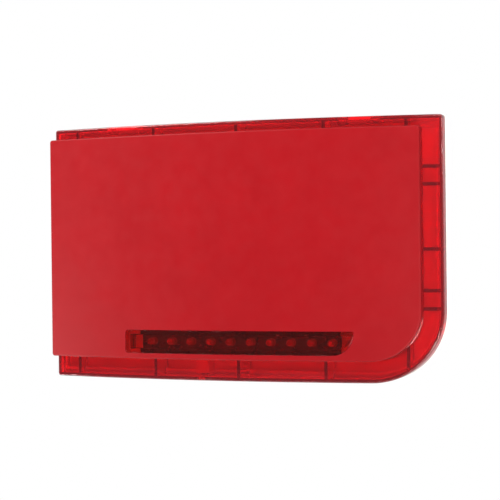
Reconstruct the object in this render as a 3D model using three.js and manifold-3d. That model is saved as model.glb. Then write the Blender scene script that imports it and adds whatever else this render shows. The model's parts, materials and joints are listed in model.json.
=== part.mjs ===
// Outdoor horn strobe. A white base tray is screwed to the wall. A translucent red cover with a bowed front
// hinges along the tray's top edge and carries an opaque red panel with a clear strip for ten LEDs. The
// sounder horn, the battery, the control board and the tamper switches sit inside on the tray.
// Millimetres. +X is to the right, +Z is up, the wall is the plane y = 0 and the front faces -Y.
import * as THREE from "three";
import { mergeVertices } from "three/addons/utils/BufferGeometryUtils.js";
import Module from "manifold-3d";

const wasm = await Module();
wasm.setup();

// ---- Driving dimensions ----
const GAP = 0.3; // between pieces that touch
const WALL = 2.5; // wall of the mouldings
const TRAY_DEPTH = 10; // of the base tray, from the wall to its front edge
const FLOOR = 3; // thickness of the tray's floor
const COVER_DEPTH = 34.6; // from the wall to the cover's face at mid-width
const COVER_RADIUS = 700; // plan radius of the cover's bowed face
const PANEL_RISE = 9.5; // from the cover's face to the panel's face
const PANEL_DEPTH = 4.5; // of the panel's edge
const ARC_STEPS = 24; // facets across a bowed face
const ARC_CENTRE = COVER_RADIUS - COVER_DEPTH; // y of the axis that every bowed face is struck from

// Outlines seen from the front, each with its four corner radii.
const OUTER = { left: -150, right: 150, bottom: -93, top: 93, tl: 2, tr: 2, br: 50, bl: 2 };
const PANEL = { left: -149.7, right: 136.8, bottom: -77.3, top: 84.8, tl: 2, tr: 2, br: 35, bl: 2 };
const WINDOW = {
  left: -83.1,
  bottom: -73.4,
  top: -56.5,
  corner: 2.7,
  endX: 74.9, // centre of the arc at the right end
  endZ: -57.8,
  endRadius: 15.6,
};

// The rain lip stands inside the cover's walls.
const LIP_INSET = 5;
const LIP_WALL = 1.5;
const LIP_RISE = 3; // in front of the tray's edge
const COVER_BACK = -(TRAY_DEPTH + GAP); // y of the cover's rear edge

// A white ledge runs inwards from the lip, behind the part of the cover that shows round the panel.
const LEDGE = { left: -143, right: 133, bottom: -78.5, top: 85.5, tl: 0.4, tr: 0.4, br: 33, bl: 0.4 };
const LEDGE_FRONT = COVER_BACK + 0.4;
const LEDGE_THICKNESS = 1.4;

// The hinge: its axis runs along X inside the cover's top rear edge.
const KNUCKLE_RADIUS = 2.2;
const PIN_RADIUS = 0.9;
const HINGE_Y = COVER_BACK - KNUCKLE_RADIUS;
const HINGE_Z = OUTER.top - KNUCKLE_RADIUS;
const HINGE_X = 90; // of each hinge, left and right
const EAR_LENGTH = 16;
const KNUCKLE_LENGTH = 8;
const PIN_LENGTH = 30;

// Ribs behind the cover's face.
const RIB_THICKNESS = 2.4;
const RIB_XS = [-129.5, -63, 3, 67.5, 125];
const SIDE_RIB_ZS = [57.3, 45.1, 0, -28.8, -41.4];
const TOP_RIB = { low: 82, high: 91.5 };
const BOTTOM_RIB = { low: -91.5, high: -77.4 };
const CORNER_RIB = { low: -86.5, high: -66 }; // the bottom rib beside the large corner
const SIDE_RIB = { left: 128, right: 148.5 };
const RIB_FRONT = -40; // before the ribs are cut back behind the bowed face
const LIP_NOTCH = { extra: 0.9, back: -9, front: -14 }; // where the ribs step round the rain lip
const CLIP_ZS = [51.2, -35.1]; // the panel's clips stand between the close pairs of side ribs
const CLIP_XS = [-141, 132];

// The lock screw: its countersunk head lies flush in the cover's bottom wall, and it threads into a lug
// of the tray.
const LOCK_X = -30;
const LOCK_Y = -15;
const LUG_LOW = -88.6;
const LUG_HIGH = -79;
const LUG_HALF = 5;
const LUG_FRONT = -20;
const INSERT_RADIUS = 3;
const LUG_NOTCH = { half: 4.5, front: -14, low: -90, high: -80 }; // gap in the rain lip at the lug
const SCREW_RADIUS = 1.95;
const HEAD_RADIUS = 3.8;
const HEAD_LOW = OUTER.bottom + 0.15;
const COLLAR_RADIUS = 2.9; // of the collar that keeps the screw in the cover's slot

// The sounder.
const HORN_X = 38;
const HORN_BACK = -4;
const HORN_FRONT = -20.5;
const HORN_WALL = 2;
const SOUND_SLOT = { count: 9, pitch: 6, half: 1.5, front: -8.5, back: -4 };
const CHAMBER_RADIUS = 24;
const THROAT_Z = -30;
const THROAT_HALF = 9;
const MOUTH_Z = -76;
const MOUTH_HALF = 27;
const DRIVER_SPIGOT = 16.6; // radius of the driver's step into the chamber

// The LED strip.
const LED_COUNT = 10;
const LED_FIRST_X = -66.2;
const LED_PITCH = 15.35;
const LED_Z = -65.2;
const STRIP = { left: -75.6, right: 77.6, bottom: -76, top: -50 };
const STRIP_FRONT = -24;
const BOARD = 1.6; // thickness of each circuit board
const STRIP_SCREWS = [-68, 73];
const STRIP_SCREW_Z = -53;
const CARRIER = { ...STRIP, left: -90, right: 91 }; // the white holder behind the strip's board
const CARRIER_FRONT = STRIP_FRONT + BOARD + GAP;
const CARRIER_THICKNESS = 1.2;

// The control board.
const CONTROL = { left: -138, right: -38, bottom: -35, top: 75 };
const CONTROL_FRONT = -9.6;
const CONTROL_INSET = 5; // of its screws from its edges

// The battery: two columns of three cells in one sleeve.
const CELL_RADIUS = 7.25;
const BATTERY = { left: 15, right: 115, middle: 56.75, y: -10.85 };
const STRAP_X = 78;
const STRAP_HALF = 6;
const STRAP_THICKNESS = 1.2;
const STRAP_FOOT = 5.6;

// Wall fixings, cable entry and tamper switches.
const FIXINGS = [[-130, 81], [125, 70], [-130, -69], [108, -50]];
const FIXING_RADIUS = 2.75;
const PAD_RADIUS = 7;
const ENTRY = { x: -106, z: -60, radius: 11 };
const SWITCH = { left: -64, right: -44, z: -43, half: 3.2, front: -13 };
const LEVER_PIVOT_X = -62;
const LEVER_BACK = -13.6;
const LEVER_THICKNESS = 0.6;
const PLUNGER = { x: -86, z: -43, radius: 3 };

// ---- Finishes ----
const RED_PANEL = { color: 0xb92228, roughness: 0.5, metalness: 0 };
const RED_CLEAR = { color: 0xcf1c26, roughness: 0.2, metalness: 0, transparent: true, opacity: 0.6 };
const WHITE_ABS = { color: 0xe9e4dc, roughness: 0.55, metalness: 0 };
const BLACK_ABS = { color: 0x1c1c1e, roughness: 0.5, metalness: 0 };
const RUBBER = { color: 0x232323, roughness: 0.85, metalness: 0 };
const GREEN_BOARD = { color: 0x1f5a36, roughness: 0.4, metalness: 0 };
const BLACK_BOARD = { color: 0x16171a, roughness: 0.4, metalness: 0 };
const STEEL = { color: 0xb9bcc0, roughness: 0.3, metalness: 1 };
const BRASS = { color: 0xb8954a, roughness: 0.35, metalness: 1 };
const SLEEVE = { color: 0x2f5fa8, roughness: 0.4, metalness: 0 };
const EPOXY = { color: 0xd8202a, roughness: 0.1, metalness: 0, transparent: true, opacity: 0.8 };
const GREEN_BLOCK = { color: 0x2d8a4e, roughness: 0.5, metalness: 0 };
const LEAD_RED = { color: 0xb01f1f, roughness: 0.6, metalness: 0 };
const LEAD_BLACK = { color: 0x1b1b1b, roughness: 0.6, metalness: 0 };
const CAN = { color: 0x22262f, roughness: 0.35, metalness: 0.2 };

// ---- Solids ----

// A closed three.js geometry as a solid that can be joined and cut.
function solid(geometry) {
  const bare = geometry.index ? geometry.toNonIndexed() : geometry.clone();
  bare.deleteAttribute("normal");
  bare.deleteAttribute("uv");
  const merged = mergeVertices(bare, 1e-4);
  const vertProperties = merged.attributes.position.array;
  const triVerts = new Uint32Array(merged.index.array);
  return new wasm.Manifold(new wasm.Mesh({ numProp: 3, vertProperties, triVerts }));
}

function geometryOf(body) {
  const mesh = body.getMesh();
  const geometry = new THREE.BufferGeometry();
  geometry.setAttribute("position", new THREE.BufferAttribute(mesh.vertProperties, 3));
  geometry.setIndex(new THREE.BufferAttribute(mesh.triVerts, 1));
  geometry.computeVertexNormals();
  return geometry;
}

function join(bodies) {
  return bodies.reduce((sum, body) => sum.add(body));
}

function extrude(shape, depth) {
  return new THREE.ExtrudeGeometry(shape, { depth, steps: 1, bevelEnabled: false, curveSegments: 12 });
}

// A shape drawn in (x, z), standing between two depths.
function prismY(shape, back, front) {
  return solid(extrude(shape, back - front).rotateX(Math.PI / 2).translate(0, back, 0));
}

// A shape drawn in (x, y), standing between two heights.
function prismZ(shape, low, high) {
  return solid(extrude(shape, high - low).translate(0, 0, low));
}

function box(x0, x1, y0, y1, z0, z1) {
  const geometry = new THREE.BoxGeometry(x1 - x0, y1 - y0, z1 - z0);
  return solid(geometry.translate((x0 + x1) / 2, (y0 + y1) / 2, (z0 + z1) / 2));
}

// Round bars along each axis. A three.js cylinder stands along Y.
function barY(x, z, radius, back, front, sides = 20) {
  const geometry = new THREE.CylinderGeometry(radius, radius, back - front, sides);
  return solid(geometry.translate(x, (back + front) / 2, z));
}

function barX(y, z, radius, low, high, sides = 16) {
  const geometry = new THREE.CylinderGeometry(radius, radius, high - low, sides);
  return solid(geometry.rotateZ(Math.PI / 2).translate((low + high) / 2, y, z));
}

function barZ(x, y, radius, low, high, sides = 20) {
  const geometry = new THREE.CylinderGeometry(radius, radius, high - low, sides);
  return solid(geometry.rotateX(Math.PI / 2).translate(x, y, (low + high) / 2));
}

// A profile of [radius, height] pairs turned about Y, with heights along -Y from the given place.
function turned(profile, x, back, z, sides = 16) {
  const points = profile.map(([radius, height]) => new THREE.Vector2(radius, height));
  return solid(new THREE.LatheGeometry(points, sides).rotateX(Math.PI).translate(x, back, z));
}

// The same outline moved in on every side.
function inset(outline, by) {
  const radius = (value) => Math.max(value - by, 0.4);
  return {
    left: outline.left + by,
    right: outline.right - by,
    bottom: outline.bottom + by,
    top: outline.top - by,
    tl: radius(outline.tl),
    tr: radius(outline.tr),
    br: radius(outline.br),
    bl: radius(outline.bl),
  };
}

function quarter(x, z, radius, turn) {
  const steps = 2 + Math.round(2 * Math.sqrt(radius));
  const angles = Array.from({ length: steps + 1 }, (_, i) => (turn + i / steps) * (Math.PI / 2));
  return angles.map((a) => new THREE.Vector2(x + radius * Math.cos(a), z + radius * Math.sin(a)));
}

function outlineShape(outline) {
  const { left, right, bottom, top, tl, tr, br, bl } = outline;
  return new THREE.Shape([
    ...quarter(right - tr, top - tr, tr, 0),
    ...quarter(left + tl, top - tl, tl, 1),
    ...quarter(left + bl, bottom + bl, bl, 2),
    ...quarter(right - br, bottom + br, br, 3),
  ]);
}

function slab(outline, back, front) {
  return prismY(outlineShape(outline), back, front);
}

// The window's outline, moved in on every side: its right end is an arc that meets the top edge at a tip.
function windowSlab(by, back, front) {
  const { left, bottom, top, corner, endX, endZ, endRadius } = WINDOW;
  const low = bottom + by;
  const high = top - by;
  const radius = Math.max(corner - by, 0.4);
  const end = endRadius - by;
  const tip = Math.asin((high - endZ) / end);
  const points = [
    ...quarter(left + by + radius, high - radius, radius, 1),
    ...quarter(left + by + radius, low + radius, radius, 2),
  ];
  for (let i = 0; i <= 10; i += 1) {
    const angle = -Math.PI / 2 + ((tip + Math.PI / 2) * i) / 10;
    points.push(new THREE.Vector2(endX + end * Math.cos(angle), endZ + end * Math.sin(angle)));
  }
  return prismY(new THREE.Shape(points), back, front);
}

// Everything behind the bowed face of this plan radius.
function behindBow(radius) {
  const reach = 156;
  const points = [new THREE.Vector2(reach, 5), new THREE.Vector2(-reach, 5)];
  for (let i = 0; i <= ARC_STEPS; i += 1) {
    const x = -reach + (2 * reach * i) / ARC_STEPS;
    points.push(new THREE.Vector2(x, ARC_CENTRE - Math.sqrt(radius * radius - x * x)));
  }
  return prismZ(new THREE.Shape(points), -100, 100);
}

// The frame between an outline and the same outline moved in.
function frameOf(outline, thickness, back, front) {
  return slab(outline, back, front).subtract(slab(inset(outline, thickness), back + 1, front - 1));
}

function bowY(radius, x) {
  return ARC_CENTRE - Math.sqrt(radius * radius - x * x);
}

// ---- Base tray ----

function hingeEar(x) {
  const half = EAR_LENGTH / 2;
  const web = box(x - half, x + half, HINGE_Y, -TRAY_DEPTH + 2, HINGE_Z - 1.8, HINGE_Z + 1.4);
  const ear = barX(HINGE_Y, HINGE_Z, KNUCKLE_RADIUS, x - half, x + half);
  return web.add(ear).subtract(barX(HINGE_Y, HINGE_Z, PIN_RADIUS + GAP, x - half - 1, x + half + 1));
}

function post(x, z, radius, front) {
  const pilot = 1.5;
  return barY(x, z, radius, -FLOOR + 0.5, front).subtract(barY(x, z, pilot, -FLOOR - 0.7, front - 1, 12));
}

function controlScrewPlaces() {
  const { left, right, bottom, top } = inset({ ...OUTER, ...CONTROL }, CONTROL_INSET);
  return [[left, top], [right, top], [left, bottom], [right, bottom]];
}

function lockLug() {
  const left = LOCK_X - LUG_HALF;
  const right = LOCK_X + LUG_HALF;
  const block = box(left, right, LUG_FRONT, -FLOOR + 0.5, LUG_LOW, LUG_HIGH);
  return block.subtract(barZ(LOCK_X, LOCK_Y, INSERT_RADIUS + GAP, LUG_LOW - 1, LUG_HIGH - 1.2));
}

function lugNotch() {
  const { half, front, low, high } = LUG_NOTCH;
  return box(LOCK_X - half, LOCK_X + half, front, -FLOOR, low, high);
}

function hornEarPlaces() {
  return [[HORN_X - 26, -38], [HORN_X + 26, -38]];
}

function ledge() {
  const back = LEDGE_FRONT + LEDGE_THICKNESS;
  return slab(inset(OUTER, LIP_INSET), back, LEDGE_FRONT).subtract(slab(LEDGE, back + 1, LEDGE_FRONT - 1));
}

function baseTray() {
  const lip = frameOf(inset(OUTER, LIP_INSET), LIP_WALL, -FLOOR + 0.5, -(TRAY_DEPTH + LIP_RISE))
    .subtract(lugNotch());
  const controlPosts = controlScrewPlaces().map(([x, z]) => post(x, z, 3.5, CONTROL_FRONT + BOARD + GAP));
  const carrierBack = CARRIER_FRONT + CARRIER_THICKNESS;
  const stripPosts = STRIP_SCREWS.map((x) => post(x, STRIP_SCREW_Z, 3, carrierBack + GAP));
  const pads = FIXINGS.map(([x, z]) => barY(x, z, PAD_RADIUS, -FLOOR + 0.5, -5));
  const holes = [
    ...FIXINGS.map(([x, z]) => barY(x, z, FIXING_RADIUS, 1, -6)),
    barY(ENTRY.x, ENTRY.z, ENTRY.radius, 1, -4, 24),
    barY(PLUNGER.x, PLUNGER.z, PLUNGER.radius + 0.4, 1, -4),
    ...hornEarPlaces().map(([x, z]) => barY(x, z, 1.5, -0.8, -4, 12)),
    ...strapScrewPlaces().map((z) => barY(STRAP_X, z, 1.3, -0.8, -4, 12)),
    soundSlots(),
  ];
  return join([
    slab(OUTER, 0, -FLOOR),
    frameOf(OUTER, WALL, -FLOOR + 0.5, -TRAY_DEPTH),
    lip,
    ledge(),
    hingeEar(-HINGE_X),
    hingeEar(HINGE_X),
    lockLug(),
    ...controlPosts,
    ...stripPosts,
    ...pads,
  ]).subtract(join(holes));
}

function hingePin(x) {
  return barX(HINGE_Y, HINGE_Z, PIN_RADIUS, x - PIN_LENGTH / 2, x + PIN_LENGTH / 2, 12);
}

function cableGrommet() {
  const bore = 4;
  const neck = ENTRY.radius - GAP;
  const profile = [
    [bore, 0.2],
    [neck, 0.2],
    [neck, FLOOR + GAP],
    [13, FLOOR + GAP],
    [13, 5],
    [6.5, 9],
    [bore, 9],
    [bore, 0.2],
  ];
  return turned(profile, ENTRY.x, 0, ENTRY.z, 24);
}

function lockInsert() {
  const outer = barZ(LOCK_X, LOCK_Y, INSERT_RADIUS, LUG_LOW + 0.2, LUG_HIGH - 1.8);
  return outer.subtract(barZ(LOCK_X, LOCK_Y, SCREW_RADIUS + GAP, LUG_LOW - 1, LUG_HIGH));
}

// ---- Cover ----

function ribs() {
  const half = RIB_THICKNESS / 2;
  const upright = RIB_XS.flatMap((x) => {
    const bottom = x > OUTER.right - OUTER.br ? CORNER_RIB : BOTTOM_RIB;
    return [TOP_RIB, bottom].map(({ low, high }) => {
      return box(x - half, x + half, RIB_FRONT, COVER_BACK, low, high);
    });
  });
  const level = SIDE_RIB_ZS.map((z) => {
    return box(SIDE_RIB.left, SIDE_RIB.right, RIB_FRONT, COVER_BACK, z - half, z + half);
  });
  const notchWidth = LIP_INSET + LIP_WALL - WALL + LIP_NOTCH.extra;
  const notch = frameOf(inset(OUTER, WALL), notchWidth, LIP_NOTCH.back, LIP_NOTCH.front);
  return join([...upright, ...level])
    .intersect(behindBow(COVER_RADIUS - 1))
    .intersect(slab(inset(OUTER, 1), -5, -50))
    .subtract(notch);
}

function coverKnuckles(x) {
  const near = EAR_LENGTH / 2 + 0.5;
  const far = near + KNUCKLE_LENGTH;
  const left = barX(HINGE_Y, HINGE_Z, KNUCKLE_RADIUS, x - far, x - near);
  const right = barX(HINGE_Y, HINGE_Z, KNUCKLE_RADIUS, x + near, x + far);
  return left.add(right);
}

// Rounds the cover's top rear edge about the hinge axis, so that it turns without meeting the tray.
function hingeRelief() {
  const corner = box(-160, 160, HINGE_Y, HINGE_Y + 5, HINGE_Z, HINGE_Z + 5);
  return corner.subtract(barX(HINGE_Y, HINGE_Z, KNUCKLE_RADIUS, -161, 161, 32));
}

// The slot that seats the lock screw's head. It is open behind, so the cover swings clear of the screw.
function lockSlot() {
  const narrow = COLLAR_RADIUS + GAP;
  const wide = HEAD_RADIUS + GAP;
  const low = OUTER.bottom - 1;
  const high = OUTER.bottom + WALL + 1;
  const seat = HEAD_LOW + 0.4;
  const cone = new THREE.CylinderGeometry(narrow, wide, wide - narrow, 24).rotateX(Math.PI / 2);
  const sides = new THREE.Shape([
    new THREE.Vector2(-wide, low),
    new THREE.Vector2(wide, low),
    new THREE.Vector2(wide, seat),
    new THREE.Vector2(narrow, seat + wide - narrow),
    new THREE.Vector2(narrow, high),
    new THREE.Vector2(-narrow, high),
    new THREE.Vector2(-narrow, seat + wide - narrow),
    new THREE.Vector2(-wide, seat),
  ]);
  return join([
    prismY(sides, COVER_BACK + 1, LOCK_Y).translate(LOCK_X, 0, 0),
    barZ(LOCK_X, LOCK_Y, wide, low, seat, 24),
    solid(cone.translate(LOCK_X, LOCK_Y, seat + (wide - narrow) / 2)),
    barZ(LOCK_X, LOCK_Y, narrow, seat, high, 24),
  ]);
}

// Slots for the sound in the tray's bottom wall and through its lip.
function soundSlots() {
  const { count, pitch, half, front, back } = SOUND_SLOT;
  const high = OUTER.bottom + LIP_INSET + LIP_WALL + 1;
  const slots = Array.from({ length: count }, (_, i) => {
    const x = HORN_X + pitch * (i - (count - 1) / 2);
    return box(x - half, x + half, front, back, OUTER.bottom - 1, high);
  });
  return join(slots);
}

function clipPlaces() {
  return CLIP_XS.flatMap((x) => CLIP_ZS.map((z) => [x, z]));
}

function lensCover() {
  const back = COVER_BACK;
  const shell = slab(OUTER, back, -50)
    .intersect(behindBow(COVER_RADIUS))
    .subtract(slab(inset(OUTER, WALL), back + 1, -50).intersect(behindBow(COVER_RADIUS - WALL)))
    .subtract(hingeRelief());
  const plinthTop = COVER_RADIUS + PANEL_RISE - PANEL_DEPTH - GAP;
  const plinth = frameOf(inset(PANEL, 0.4), 2, -10, -50)
    .intersect(behindBow(plinthTop))
    .subtract(behindBow(COVER_RADIUS - 1));
  const tamperPost = barY(SWITCH.right - 2, SWITCH.z, 2, LEVER_BACK - LEVER_THICKNESS - GAP, -33, 16);
  const clipSlots = clipPlaces().map(([x, z]) => box(x - 1.2, x + 1.2, -50, -10, z - 4.4, z + 4.4));
  const earNotches = [-HINGE_X, HINGE_X].map((x) => {
    const half = EAR_LENGTH / 2 + 0.5;
    return box(x - half, x + half, HINGE_Y - KNUCKLE_RADIUS - 0.8, -9, 88, 94);
  });
  return join([
    shell,
    plinth,
    ribs(),
    tamperPost,
    coverKnuckles(-HINGE_X),
    coverKnuckles(HINGE_X),
  ])
    .subtract(lockSlot())
    .subtract(join(clipSlots))
    .subtract(join(earNotches))
    .subtract(windowSlab(0, -5, -50))
    .subtract(barX(HINGE_Y, HINGE_Z, PIN_RADIUS + GAP, -HINGE_X - 15.4, -HINGE_X + 15.4, 12))
    .subtract(barX(HINGE_Y, HINGE_Z, PIN_RADIUS + GAP, HINGE_X - 15.4, HINGE_X + 15.4, 12));
}

// A clip's stem passes through the cover's face and its barb catches behind it.
function panelClip(x, z) {
  const behind = bowY(COVER_RADIUS - WALL, x) + GAP + 0.25;
  const stem = box(x - 0.8, x + 0.8, bowY(COVER_RADIUS + PANEL_RISE - 1, x), behind + 1.8, z - 4, z + 4);
  const barb = box(x, x + 1.7, behind, behind + 1.8, z - 4, z + 4);
  return stem.add(barb);
}

function frontPanel() {
  const face = COVER_RADIUS + PANEL_RISE;
  const shell = slab(PANEL, -10, -60)
    .intersect(behindBow(face))
    .subtract(behindBow(face - PANEL_DEPTH))
    .subtract(slab(inset(PANEL, 2), -10, -60).intersect(behindBow(face - WALL)))
    .subtract(windowSlab(0, -5, -60));
  return join([shell, ...clipPlaces().map(([x, z]) => panelClip(x, z))]);
}

// The clear strip fills the panel's slot and reaches back through the cover's face.
function ledWindow() {
  const face = COVER_RADIUS + PANEL_RISE - GAP;
  const wall = 3;
  return windowSlab(GAP, -10, -60)
    .intersect(behindBow(face))
    .subtract(behindBow(COVER_RADIUS - WALL))
    .subtract(windowSlab(GAP + wall, -9, -60).intersect(behindBow(face - WALL)));
}

// ---- Lock screw ----

// A collar on the shank, between the cover's wall and the lug. It travels with the screw.
function lockCollar() {
  const high = LUG_LOW - 0.6;
  const disc = barZ(LOCK_X, LOCK_Y, COLLAR_RADIUS, high - 0.9, high);
  return disc.subtract(barZ(LOCK_X, LOCK_Y, SCREW_RADIUS + GAP, high - 2, high + 1));
}

function lockScrew() {
  const depth = HEAD_RADIUS - SCREW_RADIUS;
  const head = new THREE.CylinderGeometry(SCREW_RADIUS, HEAD_RADIUS, depth, 24).rotateX(Math.PI / 2);
  const socket = new THREE.CylinderGeometry(1.5, 1.5, 3, 6).rotateX(Math.PI / 2);
  return solid(head.translate(LOCK_X, LOCK_Y, HEAD_LOW + 0.3 + depth / 2))
    .add(barZ(LOCK_X, LOCK_Y, HEAD_RADIUS, HEAD_LOW, HEAD_LOW + 0.3, 24))
    .add(barZ(LOCK_X, LOCK_Y, SCREW_RADIUS, HEAD_LOW + 1, LUG_HIGH - 2, 24))
    .subtract(solid(socket.translate(LOCK_X, LOCK_Y, HEAD_LOW)));
}

// ---- Sounder ----

function hornOutline(grow, mouthZ) {
  const rate = Math.log(MOUTH_HALF / THROAT_HALF) / (THROAT_Z - MOUTH_Z);
  const flare = [];
  for (let i = 0; i <= 10; i += 1) {
    const z = THROAT_Z + ((mouthZ - THROAT_Z) * i) / 10;
    flare.push([THROAT_HALF * Math.exp(rate * (THROAT_Z - z)) + grow, z]);
  }
  const right = flare.map(([half, z]) => new THREE.Vector2(HORN_X + half, z));
  const left = flare.map(([half, z]) => new THREE.Vector2(HORN_X - half, z)).reverse();
  const neck = THROAT_HALF + grow;
  const top = [new THREE.Vector2(HORN_X - neck, 0), new THREE.Vector2(HORN_X + neck, 0)];
  return new THREE.Shape([...right, ...left, ...top]);
}

function hornShell() {
  const outer = prismY(hornOutline(0, MOUTH_Z), HORN_BACK, HORN_FRONT)
    .add(barY(HORN_X, 0, CHAMBER_RADIUS, HORN_BACK, HORN_FRONT, 36));
  const back = HORN_BACK - HORN_WALL;
  const front = HORN_FRONT + HORN_WALL;
  const inner = prismY(hornOutline(-HORN_WALL, MOUTH_Z - 4), back, front)
    .add(barY(HORN_X, 0, CHAMBER_RADIUS - HORN_WALL, back, front, 36));
  const ears = hornEarPlaces().map(([x, z]) => {
    const tab = box(Math.min(x, HORN_X), Math.max(x, HORN_X), -7, HORN_BACK, z - 4, z + 4);
    return tab.add(barY(x, z, 4, HORN_BACK, -7)).subtract(barY(x, z, 1.6, -3, -8, 12));
  });
  const driverHoles = driverScrewPlaces().map(([x, z]) => barY(x, z, 1.4, -17, -22, 12));
  return join([outer, ...ears])
    .subtract(inner)
    .subtract(barY(HORN_X, 0, DRIVER_SPIGOT + GAP + 0.1, -10, -22, 36))
    .subtract(join(driverHoles));
}

function driverScrewPlaces() {
  return [90, 210, 330].map((degrees) => {
    const angle = (degrees * Math.PI) / 180;
    return [HORN_X + 20 * Math.cos(angle), 20 * Math.sin(angle)];
  });
}

function piezoDriver() {
  const seat = -HORN_FRONT + GAP;
  const profile = [
    [0, seat - 2],
    [DRIVER_SPIGOT, seat - 2],
    [DRIVER_SPIGOT, seat],
    [23, seat],
    [23, seat + 2.5],
    [16, seat + 2.5],
    [13, seat + 6],
    [0, seat + 6],
  ];
  const holes = driverScrewPlaces().map(([x, z]) => barY(x, z, 1.4, -15, -30, 12));
  return turned(profile, HORN_X, 0, 0, 36).subtract(join(holes));
}

// ---- Boards ----

function board(outline, front, screws) {
  const { left, right, bottom, top } = outline;
  const holes = screws.map(([x, z]) => barY(x, z, 1.6, front + 5, front - 5, 12));
  return box(left, right, front, front + BOARD, bottom, top).subtract(join(holes));
}

// A round-headed screw driven from the front, with its head's underside at the given depth.
function panScrew(x, z, seat, length) {
  const profile = [
    [0, -length],
    [1.1, -length],
    [1.1, 0],
    [2.6, 0],
    [2.6, 1],
    [1.6, 1.9],
    [0, 1.9],
  ];
  return turned(profile, x, seat, z, 12);
}

// The holder reaches past the board at both ends of the window.
function ledCarrier() {
  const { left, right, bottom, top } = CARRIER;
  const back = CARRIER_FRONT + CARRIER_THICKNESS;
  const holes = STRIP_SCREWS.map((x) => barY(x, STRIP_SCREW_Z, 1.6, back + 1, CARRIER_FRONT - 1, 12));
  return box(left, right, CARRIER_FRONT, back, bottom, top).subtract(join(holes));
}

function led(index) {
  const x = LED_FIRST_X + index * LED_PITCH;
  const dome = [30, 60].map((degrees) => {
    const angle = (degrees * Math.PI) / 180;
    return [2.5 * Math.cos(angle), 6.1 + 2.5 * Math.sin(angle)];
  });
  const profile = [[0, 0], [2.9, 0], [2.9, 1], [2.5, 1], [2.5, 6.1], ...dome, [0, 8.6]];
  return turned(profile, x, STRIP_FRONT - GAP, LED_Z, 12);
}

function terminalBlock() {
  const left = -100;
  const ways = 6;
  const pitch = 7;
  const front = -21;
  const body = box(left, left + ways * pitch, front, CONTROL_FRONT - GAP, -34, -22);
  const cuts = Array.from({ length: ways }, (_, i) => {
    const x = left + (i + 0.5) * pitch;
    const mouth = box(x - 2, x + 2, front + 4, front + 8, -35, -29);
    return mouth.add(barY(x, -27, 1.9, front + 2, front - 1, 12));
  });
  return body.subtract(join(cuts));
}

function leadHeader() {
  return box(-50, -40, -18, CONTROL_FRONT - GAP, -4, 32);
}

function capacitor(x, z, radius, length) {
  return barY(x, z, radius, CONTROL_FRONT - GAP, CONTROL_FRONT - GAP - length);
}

function relay() {
  return box(-122, -107, -19, CONTROL_FRONT - GAP, -20, 0);
}

// ---- Battery ----

function batteryPack() {
  const { left, right, middle, y } = BATTERY;
  const rows = [-2, 0, 2].map((i) => barX(y, middle + i * CELL_RADIUS, CELL_RADIUS, left, right, 20));
  const web = box(left, right, y - 4, y + 4, middle - 2 * CELL_RADIUS, middle + 2 * CELL_RADIUS);
  return join([...rows, web]);
}

function strapScrewPlaces() {
  const reach = 3 * CELL_RADIUS + GAP + STRAP_THICKNESS + STRAP_FOOT / 2 + 0.1;
  return [BATTERY.middle - reach, BATTERY.middle + reach];
}

function batteryStrap() {
  const reach = 3 * CELL_RADIUS + GAP;
  const inner = -(FLOOR + GAP);
  const front = BATTERY.y - CELL_RADIUS - GAP;
  const { middle } = BATTERY;
  const t = STRAP_THICKNESS;
  const x0 = STRAP_X - STRAP_HALF;
  const x1 = STRAP_X + STRAP_HALF;
  const holes = strapScrewPlaces().map((z) => barY(STRAP_X, z, 1.5, 0, -8, 12));
  return join([
    box(x0, x1, front - t, front, middle - reach - t, middle + reach + t),
    box(x0, x1, front - t, inner, middle - reach - t, middle - reach),
    box(x0, x1, front - t, inner, middle + reach, middle + reach + t),
    box(x0, x1, inner - t, inner, middle - reach - t - STRAP_FOOT, middle - reach),
    box(x0, x1, inner - t, inner, middle + reach, middle + reach + t + STRAP_FOOT),
  ]).subtract(join(holes));
}

// ---- Tamper switches ----

function tamperSwitch() {
  const { left, right, z, half, front } = SWITCH;
  const body = box(left, right, front, -(FLOOR + GAP), z - half, z + half);
  const lugs = [left + 5, right - 5].map((x) => barZ(x, -6, 1.2, z - half - 1, z + half + 1, 12));
  return body.subtract(join(lugs));
}

function tamperLever() {
  const tip = SWITCH.right + 2;
  const front = LEVER_BACK - LEVER_THICKNESS;
  const blade = box(LEVER_PIVOT_X, tip, front, LEVER_BACK, SWITCH.z - 2, SWITCH.z + 2);
  const pivot = barZ(LEVER_PIVOT_X, (front + LEVER_BACK) / 2, 0.5, SWITCH.z - 2.6, SWITCH.z + 2.6, 10);
  return blade.add(pivot);
}

function plungerGuide() {
  const { x, z, radius } = PLUNGER;
  const body = barY(x, z, radius + 3.5, -(FLOOR + GAP), -17, 24);
  return body.subtract(barY(x, z, radius + 0.4, 0, -14));
}

function wallPlunger() {
  return barY(PLUNGER.x, PLUNGER.z, PLUNGER.radius, -0.2, -12);
}

// ---- Leads ----

// A lead of eight sides along a smooth curve through the given points.
function lead(points) {
  const radius = 1.1;
  const sides = 8;
  const ring = Array.from({ length: sides }, (_, i) => {
    const angle = ((i + 0.5) * 2 * Math.PI) / sides;
    return new THREE.Vector2(radius * Math.cos(angle), radius * Math.sin(angle));
  });
  const path = new THREE.CatmullRomCurve3(points.map((p) => new THREE.Vector3(...p)));
  const steps = 20;
  return solid(new THREE.ExtrudeGeometry(new THREE.Shape(ring), { steps, extrudePath: path }));
}

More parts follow.
